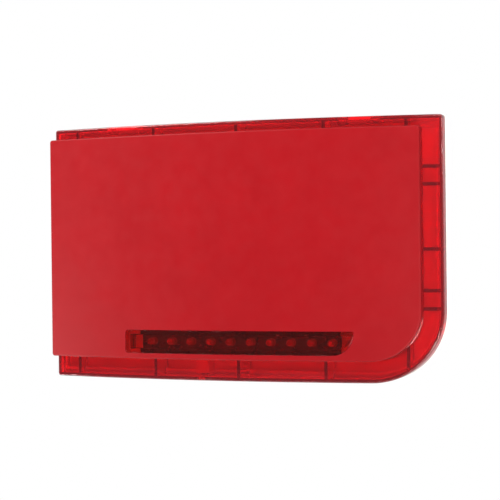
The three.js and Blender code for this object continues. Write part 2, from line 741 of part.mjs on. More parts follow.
const BATTERY_ROUTE = [
  [-39.6, -13.5, 26],
  [-30, -13.5, 27],
  [-14, -12.5, 40],
  [0, -11.5, 54],
  [14.6, -10.9, 56.7],
];
const HORN_ROUTE = [
  [-39.6, -13.5, 14],
  [-28, -14.5, 14],
  [-14, -19, 10],
  [-2, -22, 3],
  [14.6, -22.3, 0],
];
const STRIP_ROUTE = [
  [-39.6, -13.5, 2],
  [-30, -14, -1],
  [-26, -15.5, -16],
  [-26, -21, -36],
  [-26, -23.2, -49.6],
];

// ---- Assembly ----

const part = new THREE.Group();

function place(name, body, finish) {
  const mesh = new THREE.Mesh(geometryOf(body), new THREE.MeshStandardMaterial(finish));
  mesh.name = name;
  part.add(mesh);
}

place("base_tray", baseTray(), WHITE_ABS);
place("hinge_pin_left", hingePin(-HINGE_X), STEEL);
place("hinge_pin_right", hingePin(HINGE_X), STEEL);
place("cable_grommet", cableGrommet(), RUBBER);
place("lock_insert", lockInsert(), BRASS);

place("lens_cover", lensCover(), RED_CLEAR);
place("front_panel", frontPanel(), RED_PANEL);
place("led_window", ledWindow(), RED_CLEAR);

place("lock_collar", lockCollar(), RUBBER);
place("lock_screw", lockScrew(), STEEL);

place("horn_shell", hornShell(), BLACK_ABS);
place("piezo_driver", piezoDriver(), BRASS);
driverScrewPlaces().forEach(([x, z], i) => {
  place(`driver_screw_${i + 1}`, panScrew(x, z, HORN_FRONT - GAP - 2.8, 5), STEEL);
});
hornEarPlaces().forEach(([x, z], i) => {
  place(`horn_screw_${i + 1}`, panScrew(x, z, -7 - GAP, 6), STEEL);
});

place("control_board", board(CONTROL, CONTROL_FRONT, controlScrewPlaces()), GREEN_BOARD);
controlScrewPlaces().forEach(([x, z], i) => {
  place(`board_screw_${i + 1}`, panScrew(x, z, CONTROL_FRONT - GAP, 5.5), STEEL);
});
place("terminal_block", terminalBlock(), GREEN_BLOCK);
place("lead_header", leadHeader(), WHITE_ABS);
place("capacitor_large", capacitor(-66, 52, 6.3, 12), CAN);
place("capacitor_small", capacitor(-84, 54, 4, 10), CAN);
place("relay", relay(), BLACK_ABS);

const stripScrews = STRIP_SCREWS.map((x) => [x, STRIP_SCREW_Z]);
place("led_board", board(STRIP, STRIP_FRONT, stripScrews), BLACK_BOARD);
stripScrews.forEach(([x, z], i) => {
  place(`strip_screw_${i + 1}`, panScrew(x, z, STRIP_FRONT - GAP, 5.5), STEEL);
});
place("led_carrier", ledCarrier(), WHITE_ABS);
for (let i = 0; i < LED_COUNT; i += 1) {
  place(`led_${String(i + 1).padStart(2, "0")}`, led(i), EPOXY);
}

place("battery_pack", batteryPack(), SLEEVE);
place("battery_strap", batteryStrap(), STEEL);
strapScrewPlaces().forEach((z, i) => {
  place(`strap_screw_${i + 1}`, panScrew(STRAP_X, z, -(FLOOR + GAP) - STRAP_THICKNESS - GAP, 3.6), STEEL);
});

place("tamper_switch", tamperSwitch(), BLACK_ABS);
place("tamper_lever", tamperLever(), STEEL);
place("plunger_guide", plungerGuide(), BLACK_ABS);
place("wall_plunger", wallPlunger(), WHITE_ABS);

place("battery_lead", lead(BATTERY_ROUTE), LEAD_RED);
place("horn_lead", lead(HORN_ROUTE), LEAD_BLACK);
place("strip_lead", lead(STRIP_ROUTE), LEAD_RED);

export default part;
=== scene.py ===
"""The looks of the horn strobe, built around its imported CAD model.

The cover, its red panel, the strip window and the LEDs are rebuilt here as fine meshes with rounded edges,
and the boards get their components. Every other CAD node keeps its shape and gets a bevel and a material.
Lengths are millimetres until a vertex is made, and metres for the lights and the floor. +X is to the right,
+Z up, and the wall is the plane y = 0.
"""

import json
import math

import bmesh
import bpy
from mathutils import Matrix, Vector


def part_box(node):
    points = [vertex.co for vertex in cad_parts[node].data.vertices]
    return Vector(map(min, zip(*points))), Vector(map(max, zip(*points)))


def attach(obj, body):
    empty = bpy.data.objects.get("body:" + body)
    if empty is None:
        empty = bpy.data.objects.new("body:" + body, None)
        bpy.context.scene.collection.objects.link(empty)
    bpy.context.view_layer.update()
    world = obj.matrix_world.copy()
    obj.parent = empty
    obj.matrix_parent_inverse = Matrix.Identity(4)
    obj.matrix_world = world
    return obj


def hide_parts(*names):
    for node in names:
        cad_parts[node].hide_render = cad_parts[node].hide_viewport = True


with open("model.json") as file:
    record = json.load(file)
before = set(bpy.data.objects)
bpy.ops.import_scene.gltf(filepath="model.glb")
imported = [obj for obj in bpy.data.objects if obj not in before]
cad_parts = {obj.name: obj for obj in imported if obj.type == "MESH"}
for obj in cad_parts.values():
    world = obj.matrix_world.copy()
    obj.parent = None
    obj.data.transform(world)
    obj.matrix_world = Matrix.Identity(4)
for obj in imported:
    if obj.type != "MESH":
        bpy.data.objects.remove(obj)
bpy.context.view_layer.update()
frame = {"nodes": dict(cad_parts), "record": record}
nodes = frame["nodes"]

MM = 0.001


def span(node):
    """A node's lowest and highest corners, in millimetres to two places."""
    return [[round(value / MM, 2) for value in corner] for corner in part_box(node)]


def middle(node):
    """The middle of a node's box, in millimetres to two places."""
    return [round((low + high) / 2, 2) for low, high in zip(*span(node))]


def front_view(node, grow=0.0):
    """The four sides of a node's box as seen from the front, each moved out by some distance."""
    (left, _, bottom), (right, _, top) = span(node)
    low = dict(left=round(left - grow, 2), bottom=round(bottom - grow, 2))
    return dict(low, right=round(right + grow, 2), top=round(top + grow, 2))


# ---- Dimensions ----

GAP = 0.3  # between pieces that meet
WALL = 2.5  # the plastic's thickness
LEAST_RADIUS = 0.3  # the tightest corner of an outline that is moved in

BOW = 700.0  # plan radius of the cover's face
BOW_CUTS = range(-146, 147, 4)  # where a mesh is cut across X before it is bowed
PROUD = 9.5  # from the cover's face forward to the panel's
FACE_DEPTH = round(-span("front_panel")[0][1] - PROUD, 2)  # from the wall to the cover's face at mid-width
ARC_CENTRE = BOW - FACE_DEPTH
PANEL_BOW = BOW + PROUD
PANEL_DEPTH = 4.5
PANEL_RIM = 2
PANEL_EDGE = 0.9  # radius of the panel's front edge, of the edge round its slot, and of the cover's
SLOT_EDGE = 0.15
COVER_EDGE = 1.2
PLINTH_BOW = PANEL_BOW - PANEL_DEPTH - GAP
PLINTH_OUTSIDE = 0.4  # the plinth's two sides, in from the panel's outline
PLINTH_INSIDE = 2.4
COVER_BACK = span("lens_cover")[1][1]
STRAIGHT = -25  # behind this place the cover's walls aren't bowed

OUTER = dict(front_view("lens_cover"), tl=2, tr=2, br=50, bl=2)
PANEL = dict(front_view("front_panel"), tl=2, tr=2, br=35, bl=2)
WINDOW = dict(front_view("led_window", GAP), corner=2.7, end_x=74.9, end_z=-57.8, end=15.6)
CORNER_X = OUTER["right"] - OUTER["br"]  # where the cover's large corner starts
FLANGE_EDGE = PANEL["top"] - 1  # the textured flange above the panel starts just behind its edge

HINGE_RADIUS = 2.2
PIN_RADIUS = 0.9
HINGE_Y = COVER_BACK - HINGE_RADIUS
HINGE_Z = OUTER["top"] - HINGE_RADIUS
HINGES = [middle(pin)[0] for pin in ("hinge_pin_left", "hinge_pin_right")]
KNUCKLE_NEAR = 8.5  # the cover's knuckles, out from the middle of each hinge
KNUCKLE_FAR = 16.5
PIN_END = 15.4  # the end of the hole for the hinge's pin

RIB = 2.4  # thickness
RIBS = (-129.5, -63, 3, 67.5, 125)
SIDE_RIBS = (57.3, 45.1, 0, -28.8, -41.4)
RIB_TOP_END = 82  # where the upright ribs at the top and at the bottom end
RIB_BOTTOM_END = -77.4
RIB_CORNER_END = -66
SIDE_RIB_END = 128  # and those at the side
UNDER_FACE = 1.2  # ribs end inside the plastic, this far under the outer surface of the face and of a wall
UNDER_WALL = 1.5
LIP_REACH = 7.4  # how far in from the outline the ribs are notched round the tray's lip
LIP_FRONT = -14.0

CLIPS = [(x, z) for x in (-141, 132) for z in (51.2, -35.1)]
CLIP_HALF = 0.8  # half a clip's thickness, and half its length along the panel's side
CLIP_LENGTH_HALF = 4
CLIP_SLOT_HALF = 1.2  # the same for the slot that it goes through
CLIP_SLOT_LENGTH_HALF = 4.4
BARB_REACH = 1.7
BARB_DEPTH = 1.8

LOCK_X, LOCK_Y, _ = middle("lock_screw")
HEAD = 3.8 + GAP  # half the width of the slot round the lock screw's head
COLLAR = 2.9 + GAP  # and round the collar on its shank
HEAD_SEAT = OUTER["bottom"] + 0.55  # where the slot starts to taper
TAMPER_POST = dict(a=-46, b=-43, radius=2, low=-14.5, high=-33.5)  # presses on the tamper lever

LED_COUNT = 10
LED_X, _, LED_Z = middle("led_01")
LED_PITCH = round(middle("led_02")[0] - LED_X, 2)
LED_RADIUS = 2.5
LED_FLANGE = 2.9
LED_SHOULDER = 6.1  # height at which an LED's dome starts
STRIP_Y = span("led_board")[0][1]  # the fronts of the two boards
CONTROL_Y = span("control_board")[0][1]


# ---- Geometry ----


def quarter(x, z, radius, turn, steps=8):
    """Points round a quarter circle, which starts after some quarter turns from +X."""
    angles = [(turn + i / steps) * math.pi / 2 for i in range(steps + 1)]
    return [(x + radius * math.cos(a), z + radius * math.sin(a)) for a in angles]


def outline(edge, by=0.0):
    """A rounded outline moved in by some distance. Every inset has the same number of points."""
    points = []
    for key, right, top, turn in (("tr", 1, 1, 0), ("tl", 0, 1, 1), ("bl", 0, 0, 2), ("br", 1, 0, 3)):
        radius = max(edge[key] - by, LEAST_RADIUS)
        steps = 3 + round(3.5 * math.sqrt(edge[key]))
        x = edge["right"] - by - radius if right else edge["left"] + by + radius
        z = edge["top"] - by - radius if top else edge["bottom"] + by + radius
        points += quarter(x, z, radius, turn, steps)
    return points


def window_outline(by=0.0):
    """The strip window: square at the left, and at the right an arc that meets the top edge at a tip."""
    low = WINDOW["bottom"] + by
    high = WINDOW["top"] - by
    radius = max(WINDOW["corner"] - by, LEAST_RADIUS)
    end = WINDOW["end"] - by
    tip = math.asin((high - WINDOW["end_z"]) / end)
    x = WINDOW["left"] + by + radius
    points = quarter(x, high - radius, radius, 1) + quarter(x, low + radius, radius, 2)
    steps = 24
    for i in range(steps + 1):
        a = -math.pi / 2 + (tip + math.pi / 2) * i / steps
        points.append((WINDOW["end_x"] + end * math.cos(a), WINDOW["end_z"] + end * math.sin(a)))
    return points


def bow_y(radius, x):
    """The place along Y of an arc about the bow's axis."""
    return ARC_CENTRE - math.sqrt(radius * radius - x * x)


def ring(bm, points, y):
    """A loop of new vertices at one place along Y."""
    return [bm.verts.new((x * MM, y * MM, z * MM)) for x, z in points]


def rounded(bm, shape, face, radius, steps, side=1):
    """Rings of a quarter-round edge, from the face back. The side is -1 round a hole."""
    rings = []
    for i in range(steps + 1):
        a = math.pi / 2 * i / steps
        rings.append(ring(bm, shape(side * radius * (1 - math.sin(a))), face + radius * (1 - math.cos(a))))
    return rings


def bridge(bm, a, b):
    """Faces between two loops that have the same number of vertices."""
    for i in range(len(a)):
        j = (i + 1) % len(a)
        bm.faces.new((a[i], a[j], b[j], b[i]))


def cap(bm, *loops):
    """Fills one loop, or the area between a loop and the loops inside it."""
    if len(loops) == 1:
        bm.faces.new(loops[0])
        return
    edges = []
    for loop in loops:
        for i, vert in enumerate(loop):
            other = loop[(i + 1) % len(loop)]
            edges.append(bm.edges.get((vert, other)) or bm.edges.new((vert, other)))
    bmesh.ops.triangle_fill(bm, use_beauty=True, use_dissolve=False, edges=edges)


def cut_at(bm, places, axis=0):
    """Cuts the mesh by planes across X (or another axis), so that it can be bowed."""
    normal = Vector((0, 0, 0))
    normal[axis] = 1
    for place in places:
        everything = bm.verts[:] + bm.edges[:] + bm.faces[:]
        bmesh.ops.bisect_plane(bm, geom=everything, dist=1e-6, plane_co=normal * place * MM, plane_no=normal)


def bowed(bm, flat_y, radius, deepest):
    """Bends what lies in front of deepest onto arcs about the bow's axis. flat_y is drawn at that radius."""
    cut_at(bm, BOW_CUTS)
    for vert in bm.verts:
        y = vert.co.y / MM
        if y < deepest:
            vert.co.y = bow_y(radius + flat_y - y, vert.co.x / MM) * MM
    return bm


def prism(section, axis, low, high):
    """A section drawn in the two other axes, in their order, standing between two places along an axis."""
    bm = bmesh.new()
    first, second = [i for i in range(3) if i != axis]
    ends = []
    for place in (low, high):
        loop = []
        for a, b in section:
            co = [0, 0, 0]
            co[axis], co[first], co[second] = place * MM, a * MM, b * MM
            loop.append(bm.verts.new(co))
        ends.append(loop)
    bridge(bm, *ends)
    for loop in ends:
        bm.faces.new(loop)
    return bm


def block(x0, x1, y0, y1, z0, z1):
    """A box, by its two places along each axis."""
    return prism([(x0, y0), (x1, y0), (x1, y1), (x0, y1)], 2, z0, z1)


def bar(axis, a, b, radius, low, high, sides=32):
    """A round bar along an axis, at a and b in the two other axes."""
    turns = [2 * math.pi * i / sides for i in range(sides)]
    return prism([(a + radius * math.cos(t), b + radius * math.sin(t)) for t in turns], axis, low, high)


def new_object(name, bm):
    """Turns a mesh under work into an object, with its faces pointing out."""
    bmesh.ops.recalc_face_normals(bm, faces=bm.faces)
    mesh = bpy.data.meshes.new(name)
    bm.to_mesh(mesh)
    bm.free()
    obj = bpy.data.objects.new(name, mesh)
    bpy.context.scene.collection.objects.link(obj)
    return obj


def combined(bm, steps):
    """The mesh after each (operation, tool mesh) in turn."""
    work = new_object("work", bm)
    tools = []
    for operation, tool in steps:
        tools.append(new_object("tool", tool))
        modifier = work.modifiers.new(operation, "BOOLEAN")
        modifier.operation = operation
        modifier.solver = "MANIFOLD"
        modifier.object = tools[-1]
    bpy.context.view_layer.update()
    result = bmesh.new()
    result.from_object(work, bpy.context.evaluated_depsgraph_get())
    for obj in [work, *tools]:
        bpy.data.meshes.remove(obj.data)
    return result


def shaded(obj):
    """Smooth shading with sharp edges past an angle, and normals that keep large faces flat."""
    for polygon in obj.data.polygons:
        polygon.use_smooth = True
    obj.data.set_sharp_from_angle(angle=math.radians(32))
    weighted = obj.modifiers.new("normals", "WEIGHTED_NORMAL")
    weighted.keep_sharp = True
    weighted.weight = 80


def piece(name, bm, material, slot, body, *stands_for):
    """A finished piece that rides on a body, and stands for the CAD nodes named last."""
    obj = new_object(name, bm)
    obj.data.materials.append(material)
    shaded(obj)
    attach(obj, body)
    if stands_for:
        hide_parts(*stands_for)
    return obj


# ---- Materials ----


class Look:
    """A node tree being built round one Principled shader. Places are object coordinates, in metres."""

    def __init__(self, name, colour, roughness, metallic=0.0, ior=1.5):
        self.material = bpy.data.materials.new(name)
        self.material.use_nodes = True
        self.tree = self.material.node_tree
        self.shader = self.tree.nodes["Principled BSDF"]
        self.colour = (*colour, 1.0)
        self.set("Base Color", self.colour)
        self.set("Roughness", roughness)
        self.set("Metallic", metallic)
        self.set("IOR", ior)
        self.place = self.add("ShaderNodeTexCoord").outputs["Object"]

    def add(self, kind, **values):
        node = self.tree.nodes.new(kind)
        for key, value in values.items():
            setattr(node, key, value)
        return node

    def set(self, socket, value):
        self.shader.inputs[socket].default_value = value

    def link(self, output, target):
        self.tree.links.new(output, target)

    def noise(self, size, detail=3.0, stretch=None):
        """Noise whose blotches are about size millimetres across."""
        node = self.add("ShaderNodeTexNoise")
        node.inputs["Scale"].default_value = 1 / (size * MM)
        node.inputs["Detail"].default_value = detail
        source = self.place
        if stretch:
            mapping = self.add("ShaderNodeMapping")
            mapping.inputs["Scale"].default_value = stretch
            self.link(source, mapping.inputs["Vector"])
            source = mapping.outputs["Vector"]
        self.link(source, node.inputs["Vector"])
        return node.outputs["Fac"]

    def ranged(self, value, low, high):
        """Maps the middle of a noise onto low..high."""
        node = self.add("ShaderNodeMapRange")
        for key, number in (("From Min", 0.3), ("From Max", 0.7), ("To Min", low), ("To Max", high)):
            node.inputs[key].default_value = number
        self.link(value, node.inputs["Value"])
        return node.outputs["Result"]

    def mixed(self, factor, first, second):
        """A mix of two colours, each a plain colour or another node's output."""
        node = self.add("ShaderNodeMix", data_type="RGBA")
        self.link(factor, node.inputs["Factor"])
        for socket, value in (("A", first), ("B", second)):
            target = [i for i in node.inputs if i.name == socket and i.type == "RGBA"][0]
            if isinstance(value, bpy.types.NodeSocket):
                self.link(value, target)
            else:
                target.default_value = (*value[:3], 1.0)
        return [o for o in node.outputs if o.type == "RGBA"][0]

    def tint(self, size, amount, detail=3.0):
        """Lets the colour wander by some share of itself."""
        darker = [c * (1 - amount) for c in self.colour[:3]]
        lighter = [min(c * (1 + amount), 1) for c in self.colour[:3]]
        factor = self.ranged(self.noise(size, detail), 0, 1)
        self.link(self.mixed(factor, darker, lighter), self.shader.inputs["Base Color"])
        return self

    def wear(self, size, low, high, detail=4.0, stretch=None):
        """Lets the roughness wander between two values."""
        self.link(self.ranged(self.noise(size, detail, stretch), low, high), self.shader.inputs["Roughness"])
        return self

    def grain(self, size, height, detail=2.0, stretch=None):
        """A bump of about that many millimetres."""
        bump = self.add("ShaderNodeBump")
        bump.inputs["Strength"].default_value = 1.0
        bump.inputs["Distance"].default_value = height * MM
        self.link(self.noise(size, detail, stretch), bump.inputs["Height"])
        self.link(bump.outputs["Normal"], self.shader.inputs["Normal"])
        return self

    def absorb(self, colour, density):
        """Plain absorption inside the solid, per metre."""
        volume = self.add("ShaderNodeVolumeAbsorption")
        volume.inputs["Color"].default_value = (*colour, 1.0)
        volume.inputs["Density"].default_value = density
        output = self.tree.nodes["Material Output"]
        self.link(volume.outputs["Volume"], output.inputs["Volume"])
        return self


def panel_red():
    look = Look("panel_red", (0.190, 0.0026, 0.0046), 0.42)
    look.set("Specular IOR Level", 0.12)
    look.tint(26, 0.035, 5).wear(9, 0.38, 0.46).grain(0.45, 0.012)
    return look.material


def clear_red():
    look = Look("clear_red", (1.0, 0.13, 0.12), 0.04, ior=1.49)
    look.set("Transmission Weight", 0.985)
    look.absorb((0.97, 0.04, 0.14), 250)
    return look.material


COVER_TINT = (0.96, 0.0, 0.1)  # what the cover's plastic lets through, and how strongly it takes the rest
COVER_DENSITY = 350


def cover_red():
    """The cover's plastic: clear red with a little haze."""
    look = Look("cover_red", (1.0, 0.070, 0.092), 0.05, ior=1.49)
    look.set("Transmission Weight", 0.91)
    look.absorb(COVER_TINT, COVER_DENSITY)
    return look.material


def cover_haze():
    """The same plastic where the mould is textured, behind the flange above the panel."""
    look = Look("cover_haze", (1.0, 0.075, 0.10), 0.12, ior=1.49)
    look.set("Transmission Weight", 0.72)
    look.absorb(COVER_TINT, COVER_DENSITY)
    return look.material


def painted_shade_red():
    """The same plastic, darker: painted shade for the ribs seen end-on, where thick plastic looks darker."""
    look = Look("painted_shade_red", (0.16, 0.005, 0.008), 0.15, ior=1.49)
    look.set("Transmission Weight", 0.94)
    look.absorb(COVER_TINT, COVER_DENSITY)
    return look.material


def led_red():
    look = Look("led_red", (0.52, 0.06, 0.05), 0.06, ior=1.52)
    look.set("Transmission Weight", 0.55)
    look.absorb((0.92, 0.02, 0.04), 120)
    return look.material


def tray_white():
    # ivory: the warm cast is partly the plastic's own colour and partly a painted reflection of red light
    # from the cover
    look = Look("tray_white", (0.80, 0.755, 0.70), 0.5)
    look.tint(40, 0.02, 4).wear(12, 0.45, 0.58).grain(0.5, 0.015)
    return look.material


def black_abs():
    look = Look("black_abs", (0.014, 0.014, 0.015), 0.45)
    look.tint(12, 0.2).wear(6, 0.38, 0.55).grain(0.5, 0.02)
    return look.material


def rubber_black():
    look = Look("rubber_black", (0.018, 0.018, 0.018), 0.75)
    look.tint(5, 0.25).wear(4, 0.65, 0.85).grain(0.8, 0.03)
    return look.material


def led_cup_white():
    look = Look("led_cup_white", (0.85, 0.42, 0.36), 0.3)
    look.wear(0.6, 0.22, 0.4)
    return look.material


def header_white():
    look = Look("header_white", (0.72, 0.71, 0.66), 0.4)
    look.tint(6, 0.04).wear(4, 0.35, 0.5).grain(0.4, 0.01)
    return look.material


def steel():
    look = Look("steel", (0.62, 0.63, 0.65), 0.28, metallic=1.0)
    look.tint(9, 0.04, 3).wear(7, 0.25, 0.34).grain(0.5, 0.0015)
    return look.material


def brass():
    look = Look("brass", (0.60, 0.42, 0.16), 0.3, metallic=1.0)
    look.tint(2, 0.1, 4).wear(1.5, 0.22, 0.42, stretch=(1, 1, 8)).grain(0.4, 0.006, stretch=(1, 1, 8))
    return look.material


def driver_metal():
    look = Look("driver_metal", (0.56, 0.50, 0.36), 0.35, metallic=1.0)
    look.tint(5, 0.08, 4).wear(3, 0.28, 0.45).grain(0.6, 0.006)
    return look.material


def battery_sleeve():
    look = Look("battery_sleeve", (0.030, 0.10, 0.36), 0.3)
    look.tint(14, 0.08).wear(6, 0.24, 0.36).grain(4.0, 0.03, 2, stretch=(0.25, 1, 1))
    return look.material


def terminal_green():
    look = Look("terminal_green", (0.030, 0.24, 0.075), 0.42)
    look.tint(5, 0.08).wear(4, 0.36, 0.5).grain(0.4, 0.012)
    return look.material


def capacitor_can():
    look = Look("capacitor_can", (0.012, 0.016, 0.035), 0.3)
    look.tint(3, 0.15).wear(3, 0.24, 0.38).grain(1.2, 0.015)
    return look.material


def lead_red():
    look = Look("lead_red", (0.42, 0.012, 0.012), 0.45)
    look.tint(4, 0.08).wear(2, 0.38, 0.55).grain(0.4, 0.01)
    return look.material


def lead_black():
    look = Look("lead_black", (0.014, 0.014, 0.014), 0.45)
    look.tint(4, 0.15).wear(2, 0.38, 0.55).grain(0.4, 0.01)
    return look.material


def board(name, mask, track):
    """Solder mask with copper tracks faintly showing under it."""
    look = Look(name, mask, 0.28)
    bricks = look.add("ShaderNodeTexBrick")
    bricks.inputs["Scale"].default_value = 1 / (26 * MM)
    bricks.inputs["Mortar Size"].default_value = 0.018
    bricks.inputs["Color1"].default_value = (0, 0, 0, 1)
    bricks.inputs["Color2"].default_value = (0, 0, 0, 1)
    bricks.inputs["Mortar"].default_value = (1, 1, 1, 1)
    turned = look.add("ShaderNodeMapping")
    turned.inputs["Rotation"].default_value = (math.pi / 2, 0, 0)
    look.link(look.place, turned.inputs["Vector"])
    look.link(turned.outputs["Vector"], bricks.inputs["Vector"])
    look.link(look.mixed(bricks.outputs["Color"], mask, track), look.shader.inputs["Base Color"])
    look.wear(8, 0.22, 0.36).grain(1.5, 0.02)
    return look.material


LOOKS = {
    "panel_red": panel_red(),
    "clear_red": clear_red(),
    "cover_red": cover_red(),
    "painted_shade_red": painted_shade_red(),
    "cover_haze": cover_haze(),
    "led_epoxy": led_red(),
    "led_cup": led_cup_white(),
    "tray_white": tray_white(),
    "black_abs": black_abs(),
    "rubber_black": rubber_black(),
    "header_white": header_white(),
    "steel": steel(),
    "brass": brass(),
    "driver_metal": driver_metal(),
    "battery_sleeve": battery_sleeve(),
    "terminal_green": terminal_green(),
    "capacitor_can": capacitor_can(),
    "lead_red": lead_red(),
    "lead_black": lead_black(),
    "board_green": board("board_green", (0.012, 0.090, 0.030), (0.016, 0.112, 0.039)),
    "board_black": board("board_black", (0.010, 0.009, 0.009), (0.024, 0.023, 0.022)),
}


# ---- Front panel ----


def clip(x, z):
    """A clip that goes back from the panel through the cover's face and catches behind it."""
    front = bow_y(PANEL_BOW - 1, x)
    slack = 0.25
    catch = bow_y(BOW - WALL, x) + GAP + slack
    left, right = x - CLIP_HALF, x + CLIP_HALF
    barb = [(right, catch), (x + BARB_REACH, catch), (right, catch + BARB_DEPTH), (left, catch + BARB_DEPTH)]
    return prism([(left, front), (right, front), *barb], 2, z - CLIP_LENGTH_HALF, z + CLIP_LENGTH_HALF)


def front_panel():
    """The opaque red panel: a rounded front edge, a rim behind, and the slot for the strip window."""
    bm = bmesh.new()
    face = bow_y(PANEL_BOW, 0)
    outer = rounded(bm, lambda by: outline(PANEL, by), face, PANEL_EDGE, steps=5)
    outer.append(ring(bm, outline(PANEL), face + PANEL_DEPTH))
    inner = [ring(bm, outline(PANEL, PANEL_RIM), y) for y in (face + PANEL_DEPTH, face + WALL)]
    hole = rounded(bm, window_outline, face, SLOT_EDGE, steps=3, side=-1)
    hole.append(ring(bm, window_outline(), face + WALL))
    for rings in (outer, [outer[-1], *inner], hole):
        for a, b in zip(rings, rings[1:]):
            bridge(bm, a, b)
    cap(bm, outer[0], hole[0])
    cap(bm, inner[1], hole[-1])
    bowed(bm, face, PANEL_BOW, 0)
    return combined(bm, [("UNION", clip(x, z)) for x, z in CLIPS])


# ---- Cover ----


def low_edge(x, by):
    """Height of the outline's bottom edge, moved in, at a place along X."""
    if x <= CORNER_X:
        return OUTER["bottom"] + by
    radius = OUTER["br"] - by
    return OUTER["bottom"] + OUTER["br"] - math.sqrt(radius * radius - (x - CORNER_X) ** 2)


def shell():
    """The cover's outer skin: walls, bowed face and rounded edges, open behind."""
    bm = bmesh.new()
    face = -FACE_DEPTH
    outer = rounded(bm, lambda by: outline(OUTER, by), face, COVER_EDGE, steps=6)
    outer.append(ring(bm, outline(OUTER), COVER_BACK))
    corner, between = 0.5, 0.15  # the inner corner is eased in two steps
    inner = [
        ring(bm, outline(OUTER, WALL), COVER_BACK),
        ring(bm, outline(OUTER, WALL), face + WALL + corner),
        ring(bm, outline(OUTER, WALL + between), face + WALL + between),
        ring(bm, outline(OUTER, WALL + corner), face + WALL),
    ]
    rings = outer + inner
    for a, b in zip(rings, rings[1:]):
        bridge(bm, a, b)
    cap(bm, outer[0])
    cap(bm, inner[-1])
    return bowed(bm, face, BOW, STRAIGHT)


def plinth():
    """The low wall that the panel's rim stands over."""
    bm = bmesh.new()
    face = bow_y(BOW, 0)
    back, front = face + 1, bow_y(PLINTH_BOW, 0)
    rings = [
        ring(bm, outline(PANEL, PLINTH_INSIDE), back),
        ring(bm, outline(PANEL, PLINTH_INSIDE), front),
        ring(bm, outline(PANEL, PLINTH_OUTSIDE), front),
        ring(bm, outline(PANEL, PLINTH_OUTSIDE), back),
    ]
    for i in range(4):
        bridge(bm, rings[i], rings[(i + 1) % 4])
    return bowed(bm, face, BOW, 0)


def upright_rib(x, top):
    """A rib along Z behind the face, notched where the tray's lip comes up into the cover."""
    front = bow_y(BOW - UNDER_FACE, abs(x) - RIB / 2)
    if top:
        wall, notch, end = OUTER["top"] - UNDER_WALL, OUTER["top"] - LIP_REACH, RIB_TOP_END
    else:
        wall, notch = low_edge(x, UNDER_WALL), low_edge(x, LIP_REACH)
        end = RIB_CORNER_END if x > CORNER_X else RIB_BOTTOM_END
    section = [(COVER_BACK, end), (front, end), (front, wall)]
    section += [(LIP_FRONT, wall), (LIP_FRONT, notch), (COVER_BACK, notch)]
    return prism(section, 0, x - RIB / 2, x + RIB / 2)


def side_rib(z):
    """A rib along X behind the face, at the cover's right side, notched in the same way."""
    wall = OUTER["right"] - UNDER_WALL
    notch = OUTER["right"] - LIP_REACH
    bow = [(x, bow_y(BOW - UNDER_FACE, x)) for x in (wall, 141, 134.5, SIDE_RIB_END)]
    section = [(SIDE_RIB_END, COVER_BACK), (notch, COVER_BACK), (notch, LIP_FRONT), (wall, LIP_FRONT), *bow]
    return prism(section, 2, z - RIB / 2, z + RIB / 2)


def hinge_relief():
    """What is cut away to round the cover's top rear edge about the hinge axis."""
    far = HINGE_RADIUS + 3
    past = 10
    steps = 12
    arc = []
    for i in range(steps + 1):
        a = math.pi / 2 * i / steps
        arc.append((HINGE_Y + HINGE_RADIUS * math.cos(a), HINGE_Z + HINGE_RADIUS * math.sin(a)))
    corner = [(HINGE_Y, HINGE_Z + far), (HINGE_Y + far, HINGE_Z + far), (HINGE_Y + far, HINGE_Z)]
    return prism(arc + corner, 0, OUTER["left"] - past, OUTER["right"] + past)


def lock_slot():
    """The tapered slot that seats the lock screw's head, round in front and open behind."""
    bm = bmesh.new()
    taper = HEAD_SEAT + HEAD - COLLAR
    below, above = OUTER["bottom"] - 1, OUTER["bottom"] + WALL + 1
    steps = 16
    turns = [math.pi + math.pi * i / steps for i in range(steps + 1)]
    loops = []
    for z, radius in ((below, HEAD), (HEAD_SEAT, HEAD), (taper, COLLAR), (above, COLLAR)):
        points = [(LOCK_X + radius * math.cos(t), LOCK_Y + radius * math.sin(t)) for t in turns]
        points += [(LOCK_X + radius, COVER_BACK + 1), (LOCK_X - radius, COVER_BACK + 1)]
        loops.append([bm.verts.new((x * MM, y * MM, z * MM)) for x, y in points])
    for a, b in zip(loops, loops[1:]):
        bridge(bm, a, b)
    cap(bm, loops[0])
    cap(bm, loops[-1])
    return bm


def knuckle(x, side):
    """A round bar about the hinge axis, on one side of a hinge."""
    near, far = x + side * KNUCKLE_NEAR, x + side * KNUCKLE_FAR
    return bar(0, HINGE_Y, HINGE_Z, HINGE_RADIUS, min(near, far), max(near, far))


def clip_slot(x, z):
    """The slot that a clip of the panel goes through."""
    half, along = CLIP_SLOT_HALF, CLIP_SLOT_LENGTH_HALF
    in_front, behind = -50, -12
    return block(x - half, x + half, in_front, behind, z - along, z + along)


def hinge_notch(x):
    """Room for the tray's knuckle between two of the cover's."""
    front = HINGE_Y - HINGE_RADIUS - 0.8
    behind, below, above = -9, 88, 94
    return block(x - KNUCKLE_NEAR, x + KNUCKLE_NEAR, front, behind, below, above)


